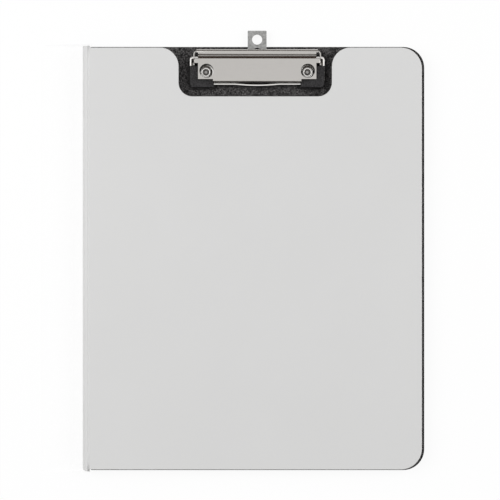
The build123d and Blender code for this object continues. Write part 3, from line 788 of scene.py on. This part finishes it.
def seam_ring(node, inset, keep=lambda place: True):
    """A welded seam that stands up from the underside of a CAD node, a little inside its edge."""
    sizes = looks().seam
    bm = merged_copy(node)
    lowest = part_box(node)[0].z
    level, facing_down = lowest + 0.05 * MM, -0.99
    other = [f for f in bm.faces if f.normal.z > facing_down or f.calc_center_median().z > level]
    bmesh.ops.delete(bm, geom=other, context="FACES")
    bmesh.ops.dissolve_faces(bm, faces=bm.faces[:])
    settings = {"use_boundary": True, "use_even_offset": True}
    ring = bmesh.ops.inset_region(bm, faces=bm.faces[:], thickness=inset, **settings)["faces"]
    bmesh.ops.delete(bm, geom=ring, context="FACES")
    ring = bmesh.ops.inset_region(bm, faces=bm.faces[:], thickness=sizes.width, **settings)["faces"]
    inside = [f for f in bm.faces if f not in ring]
    left_out = [f for f in ring if not keep(f.calc_center_median())]
    bmesh.ops.delete(bm, geom=inside + left_out, context="FACES")
    drawn = bmesh.ops.extrude_face_region(bm, geom=bm.faces[:], use_keep_orig=True)
    drawn_out(bm, drawn, (0, 0, -sizes.height))
    bmesh.ops.recalc_face_normals(bm, faces=bm.faces[:])
    middle, sharp_angle = lowest - sizes.height / 2, 1.0
    rim = [e for e in bm.edges if e.is_manifold and e.calc_face_angle() > sharp_angle
           and max(v.co.z for v in e.verts) < middle]
    bmesh.ops.bevel(bm, geom=rim, offset=sizes.height * 0.6, offset_type="OFFSET", segments=2,
                    profile=0.5, affect="EDGES", material=-1, clamp_overlap=True)
    if not bm.faces:
        raise RuntimeError("the seam of " + node + " has no faces")
    return bm


class FOLDER_OT_effects(bpy.types.Operator):
    """Build the shared grain, hairline, smudge, wear and dust effects, and the painted hollow shade"""

    bl_idname = "folder.effects"
    bl_label = "Shared Effects"

    def execute(self, context):
        for build in (fine_grain, leather_grain, hairlines, smudges, edge_wear, settled_dust, painted_hollow_shade):
            build()
        return {"FINISHED"}


class FOLDER_OT_sheets(bpy.types.Operator):
    """Dress the grey outer sheets of both covers and the spine"""

    bl_idname = "folder.sheets"
    bl_label = "Grey Sheets"

    def execute(self, context):
        dress(["back_sheet", "spine_channel", "front_sheet"], grey_sheet())
        return {"FINISHED"}


class FOLDER_OT_coverings(bpy.types.Operator):
    """Dress the board's covering, the linings and the cores"""

    bl_idname = "folder.coverings"
    bl_label = "Coverings and Boards"

    def execute(self, context):
        dress(["back_board_wrap"], black_covering())
        dress(["spine_lining", "front_lining"], black_lining())
        dress(["back_board_core", "front_core"], greyboard())
        return {"FINISHED"}


class FOLDER_OT_pocket(bpy.types.Operator):
    """Dress the document pocket and build its welded seam"""

    bl_idname = "folder.pocket"
    bl_label = "Document Pocket"

    def execute(self, context):
        sizes = looks().seam
        film = pocket_film()
        dress(["document_pocket"], film)
        low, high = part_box("document_pocket")
        middle = (low.x + high.x) / 2

        def welded(place):
            in_notch = abs(place.x - middle) < sizes.thumb and place.y > high.y - sizes.thumb
            return place.y < high.y - sizes.mouth and not in_notch

        ring = seam_ring("document_pocket", sizes.pocket_inset, welded)
        seam = piece("pocket_seam", ring, [film])
        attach(seam, "front_cover")
        return {"FINISHED"}


class FOLDER_OT_lining_seam(bpy.types.Operator):
    """Build the welded seam round the cover's lining"""

    bl_idname = "folder.lining_seam"
    bl_label = "Lining Seam"

    def execute(self, context):
        ring = seam_ring("front_lining", looks().seam.lining_inset)
        seam = piece("lining_seam", ring, [bpy.data.materials["black_lining_finish"]])
        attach(seam, "front_cover")
        return {"FINISHED"}


class FOLDER_OT_creases(bpy.types.Operator):
    """Build the two creases between the spine and the covers, and their inner skins"""

    bl_idname = "folder.creases"
    bl_label = "Creases"

    def execute(self, context):
        black = bpy.data.materials["black_lining_finish"]
        both = [bpy.data.materials["grey_sheet_finish"], black]
        front = piece("front_crease", crease_groove(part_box("front_sheet")[1].z, 1), both)
        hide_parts("front_hinge_film")
        back = piece("back_crease", crease_groove(0.0, -1), both)
        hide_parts("back_hinge_film")

        ends = [corner.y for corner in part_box("front_lining")]
        skin = crease_skin(front_skin_points(), *ends)
        front_skin = piece("front_crease_skin", skin, [black])
        skin = crease_skin(back_skin_points(), *ends)
        back_skin = piece("back_crease_skin", skin, [black])

        for made in (front, front_skin):
            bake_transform(made)
        for made in (back, back_skin):
            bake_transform(made)
        return {"FINISHED"}


class FOLDER_OT_clip_plates(bpy.types.Operator):
    """Dress the lever plate, base plate, eyelets and washers"""

    bl_idname = "folder.clip_plates"
    bl_label = "Clip Plates"

    def execute(self, context):
        dress(["clip_lever_plate"], nickel_plate())
        dress(["clip_base_plate", "clip_eyelets"], base_nickel())
        dress(["hang_tab", "eyelet_washers"], zinc_plate())
        soften(["clip_lever_plate"], looks().metal.edge)
        soften(["hang_tab"], looks().metal.tab_edge, segments=3)
        return {"FINISHED"}


def eyelet_tops():
    """The middle of each eyelet's top."""
    low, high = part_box("clip_eyelets")
    half = (high.y - low.y) / 2
    return [(x, low.y + half, high.z) for x in (low.x + half, high.x - half)]


def turned_at_eyelets(name, section, finish):
    """A piece turned round both eyelets, from a section of radii and heights from the eyelets' tops."""
    bm = bmesh.new()
    for x, y, top in eyelet_tops():
        verts = [bm.verts.new((x + radius, y, top + height)) for radius, height in section]
        edges = [bm.edges.new(pair) for pair in zip(verts, verts[1:])]
        bmesh.ops.spin(bm, geom=verts + edges, cent=(x, y, 0), axis=(0, 0, 1), angle=math.tau, steps=48,
                       use_merge=True)
    bmesh.ops.remove_doubles(bm, verts=bm.verts[:], dist=MERGE_DISTANCE)
    bmesh.ops.recalc_face_normals(bm, faces=bm.faces[:])
    made = piece(name, bm, [finish])
    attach(made, "back")


class FOLDER_OT_eyelets(bpy.types.Operator):
    """Build the rolled hollows that close the two eyelets, and the pressed collars round them"""

    bl_idname = "folder.eyelets"
    bl_label = "Eyelet Hollows and Collars"

    def execute(self, context):
        sizes = looks().eyelet
        under = -sizes.depth - sizes.wall
        corner = sizes.wall / 2
        hollow = [
            (0.0, under), (sizes.bore, under), (sizes.bore, -sizes.lip),
            *near(sizes.bore - sizes.lip, -sizes.lip, (0, -0.08)),
            (sizes.bore - sizes.throat, -sizes.throat_depth),
            (sizes.end + corner, corner - sizes.depth), (sizes.end - corner, -sizes.depth),
            (0.0, -sizes.depth),
        ]
        # Painted shade: the hollows take the darker spring steel finish, which stands in for the shade
        # inside the eyelets
        turned_at_eyelets("eyelet_hollows", hollow, bpy.data.materials["spring_steel_finish"])
        foot = -sizes.flange_height
        collar = [
            (sizes.flange, foot),
            *near(sizes.flange, 0.0, (0, -0.06), (0.05, -0.02), (0.13, -0.03)),
            *near(sizes.collar, foot, (0, 0.02), (0, 0)),
            (sizes.flange, foot),
        ]
        turned_at_eyelets("eyelet_collars", collar, bpy.data.materials["base_nickel_finish"])
        return {"FINISHED"}


def twisting_spring(name, finish):
    """A torsion spring: a smooth copy of its CAD node, which takes the node's place."""
    made = piece(name + "_turns", merged_copy(name), [finish])
    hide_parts(name)
    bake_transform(made)


class FOLDER_OT_wire(bpy.types.Operator):
    """Dress the jaw wire and build its springs"""

    bl_idname = "folder.wire"
    bl_label = "Wire and Springs"

    def execute(self, context):
        dress(["jaw_wire"], bright_wire())
        finish = spring_steel()
        twisting_spring("torsion_spring_left", finish)
        twisting_spring("torsion_spring_right", finish)
        return {"FINISHED"}


class FOLDER_OT_grips(bpy.types.Operator):
    """Dress the rubber corner grips"""

    bl_idname = "folder.grips"
    bl_label = "Corner Grips"

    def execute(self, context):
        dress(["corner_grip_left", "corner_grip_right"], moulded_rubber())
        return {"FINISHED"}


class FOLDER_OT_stage(bpy.types.Operator):
    """Build the floor, the world, the lamps, the mirrored cards and the camera"""

    bl_idname = "folder.stage"
    bl_label = "Stage"

    def execute(self, context):
        look = looks().stage
        stage_floor(look)
        stage_world(context.scene, look)
        lamp(context.scene, "key_lamp", look.key, look.lamp_size, (-1.2, 0.3, 1.2))
        lamp(context.scene, "fill_lamp", look.fill, look.lamp_size, (1.2, 0.25, 1.2))
        stage_cards(look)
        photo_camera(context.scene, look)
        context.scene.view_settings.view_transform = "Standard"
        return {"FINISHED"}


def seen_plainly(nodes, most=1.0):
    """How much of plain white the eye, metal and glass see instead of the lit surface."""
    path = nodes.add("LightPath").outputs
    seen = nodes.math("MAXIMUM", path["Is Camera Ray"], path["Is Glossy Ray"])
    seen = nodes.math("MAXIMUM", seen, path["Is Transmission Ray"])
    return nodes.math("MULTIPLY", seen, most)


def sink_under_spine(bm):
    """Sinks the floor where the open spine turns down past it, with a slope that lets light in."""
    crease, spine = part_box("back_hinge_film"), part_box("spine_channel")
    gap, clearance, bank = 0.1 * MM, 1.5 * MM, 1.0 * MM
    sink = (crease[0].x + crease[1].x) / 2 - spine[0].x + gap
    slope = 5 * sink
    left = crease[0].x - (spine[1].z - spine[0].z) - clearance
    right = crease[1].x + 2 * gap
    end = spine[1].y + clearance
    cuts = [((x, 0, 0), (1, 0, 0)) for x in (left - slope, left, right, right + bank)]
    cuts += [((0, y, 0), (0, 1, 0)) for y in (-end - bank, -end, end, end + bank)]
    for place, across in cuts:
        everything = bm.verts[:] + bm.edges[:] + bm.faces[:]
        bmesh.ops.bisect_plane(bm, geom=everything, plane_co=place, plane_no=across)
    sunk = [v for v in bm.verts if left - gap < v.co.x < right + gap and abs(v.co.y) < end + gap]
    bmesh.ops.translate(bm, verts=sunk, vec=(0, 0, -sink))


def empty_material(name):
    """A new material whose node tree is still empty."""
    material = bpy.data.materials.new(name)
    material.use_nodes = True
    material.node_tree.nodes.clear()
    return material, Nodes(material.node_tree)


def stage_floor(look):
    """Plain pale floor that is white to the eye but keeps the folder's shadow."""
    material, nodes = empty_material("stage_floor_finish")
    lit = nodes.add("BsdfDiffuse", {"Color": look.floor}).outputs[0]
    white = nodes.add("Emission", {"Color": WHITE, "Strength": 1.0}).outputs[0]
    mixed = nodes.add("MixShader", {0: seen_plainly(nodes, look.floor_white), 1: lit, 2: white}).outputs[0]
    nodes.add("OutputMaterial", {"Surface": mixed})
    bm = bmesh.new()
    bmesh.ops.create_grid(bm, x_segments=1, y_segments=1, size=look.floor_size / 2)
    bmesh.ops.translate(bm, verts=bm.verts[:], vec=(0, 0, -look.floor_gap))
    sink_under_spine(bm)
    object_of("stage_floor", bm, [material])


def stage_world(scene, look):
    """Even light from all round, which the eye sees as white."""
    world = bpy.data.worlds.new("stage_world")
    scene.world = world
    world.use_nodes = True
    world.node_tree.nodes.clear()
    nodes = Nodes(world.node_tree)
    ambient = nodes.add("Background", {"Color": WHITE, "Strength": look.ambient}).outputs[0]
    plain = nodes.add("Background", {"Color": WHITE, "Strength": 1.0}).outputs[0]
    mixed = nodes.add("MixShader", {0: seen_plainly(nodes), 1: ambient, 2: plain}).outputs[0]
    nodes.add("OutputWorld", {"Surface": mixed})


def mirrored_card(name, place, turn, width, height, shown, strength):
    """A card of one colour that shows only in reflections, like the flags and reflectors of a studio."""
    material, nodes = empty_material(name + "_finish")
    glow = nodes.add("Emission", {"Color": shown, "Strength": strength}).outputs[0]
    nodes.add("OutputMaterial", {"Surface": glow})
    bm = bmesh.new()
    bmesh.ops.create_grid(bm, x_segments=1, y_segments=1, size=0.5)
    bmesh.ops.scale(bm, verts=bm.verts[:], vec=(width, height, 1))
    turned = Euler([math.radians(angle) for angle in turn]).to_matrix()
    bmesh.ops.rotate(bm, verts=bm.verts[:], cent=(0, 0, 0), matrix=turned)
    bmesh.ops.translate(bm, verts=bm.verts[:], vec=place)
    card = object_of(name, bm, [material])
    card.visible_camera = False
    card.visible_diffuse = False
    card.visible_shadow = False


def stage_cards(look):
    """Dark cards all round, low down, and two white reflectors for the wire's glints."""
    dark = (look.card, 1.0)
    bright = (WHITE, look.glint)
    upright, sideways, leaning = (90, 0, 0), (90, 0, 90), (0, -39, -14)
    mirrored_card("front_card", (0, -1.0, 0.28), upright, 1.6, 0.56, *dark)
    mirrored_card("back_card", (0, 1.0, 0.34), upright, 1.6, 0.68, *dark)
    mirrored_card("left_card", (-1.0, 0, 0.25), sideways, 1.6, 0.5, *dark)
    mirrored_card("right_card", (1.0, 0, 0.25), sideways, 1.6, 0.5, *dark)
    mirrored_card("glint_card", (0.9, 0, 0.6), sideways, 0.5, 0.55, *bright)
    mirrored_card("spot_card", (-0.82, 0.28, 1.0), leaning, 0.4, 0.4, *bright)


def lamp(scene, name, power, size, place):
    """A square soft lamp aimed at the folder, which metal doesn't mirror."""
    light = bpy.data.lights.new(name, "AREA")
    light.energy = power
    light.size = size
    made = bpy.data.objects.new(name, light)
    made.location = place
    made.visible_glossy = False
    made.rotation_euler = (-Vector(place)).to_track_quat("-Z", "Y").to_euler()
    scene.collection.objects.link(made)


def photo_camera(scene, look):
    """The photograph's camera, straight above the folder."""
    lens = bpy.data.cameras.new("photo_camera")
    lens.sensor_width = SENSOR_WIDTH
    lens.lens = SENSOR_WIDTH * look.distance / PHOTO_WIDTH
    lens.clip_start = 0.05
    lens.clip_end = 50.0
    camera = bpy.data.objects.new("photo_camera", lens)
    camera.location = (*PHOTO_CENTRE, PHOTO_HEIGHT + look.distance)
    scene.collection.objects.link(camera)
    scene.camera = camera


class FOLDER_PT_looks(bpy.types.Panel):
    """Lists the steps that dress the folder"""

    bl_label = "Clipboard Folder"
    bl_idname = "FOLDER_PT_looks"
    bl_space_type = "VIEW_3D"
    bl_region_type = "UI"
    bl_category = "Folder"

    def draw(self, context):
        chosen = context.scene.clipboard_folder
        for operator, group in STEPS:
            self.layout.operator(operator.bl_idname)
            for name in group.__annotations__ if group else ():
                self.layout.prop(getattr(chosen, GROUPS[group]), name)


GROUPS = {
    FolderSheetLook: "sheet",
    FolderCoveringLook: "covering",
    FolderMetalLook: "metal",
    FolderCreaseSizes: "crease",
    FolderSeamSizes: "seam",
    FolderEyeletSizes: "eyelet",
    FolderStageLook: "stage",
}

STEPS = [
    (FOLDER_OT_effects, None),
    (FOLDER_OT_sheets, FolderSheetLook),
    (FOLDER_OT_coverings, FolderCoveringLook),
    (FOLDER_OT_pocket, None),
    (FOLDER_OT_lining_seam, FolderSeamSizes),
    (FOLDER_OT_creases, FolderCreaseSizes),
    (FOLDER_OT_clip_plates, FolderMetalLook),
    (FOLDER_OT_wire, None),
    (FOLDER_OT_eyelets, FolderEyeletSizes),
    (FOLDER_OT_grips, None),
    (FOLDER_OT_stage, FolderStageLook),
]


def register():
    for group in (*GROUPS, FolderLooks):
        bpy.utils.register_class(group)
    for operator, group in STEPS:
        bpy.utils.register_class(operator)
    bpy.utils.register_class(FOLDER_PT_looks)
    bpy.types.Scene.clipboard_folder = PointerProperty(type=FolderLooks)


def unregister():
    del bpy.types.Scene.clipboard_folder
    bpy.utils.unregister_class(FOLDER_PT_looks)
    for operator, group in reversed(STEPS):
        bpy.utils.unregister_class(operator)
    for group in (FolderLooks, *reversed(GROUPS)):
        bpy.utils.unregister_class(group)


def main():
    register()
    for operator, group in STEPS:
        getattr(bpy.ops.folder, operator.bl_idname.removeprefix("folder."))()


if __name__ == "__main__":
    main()
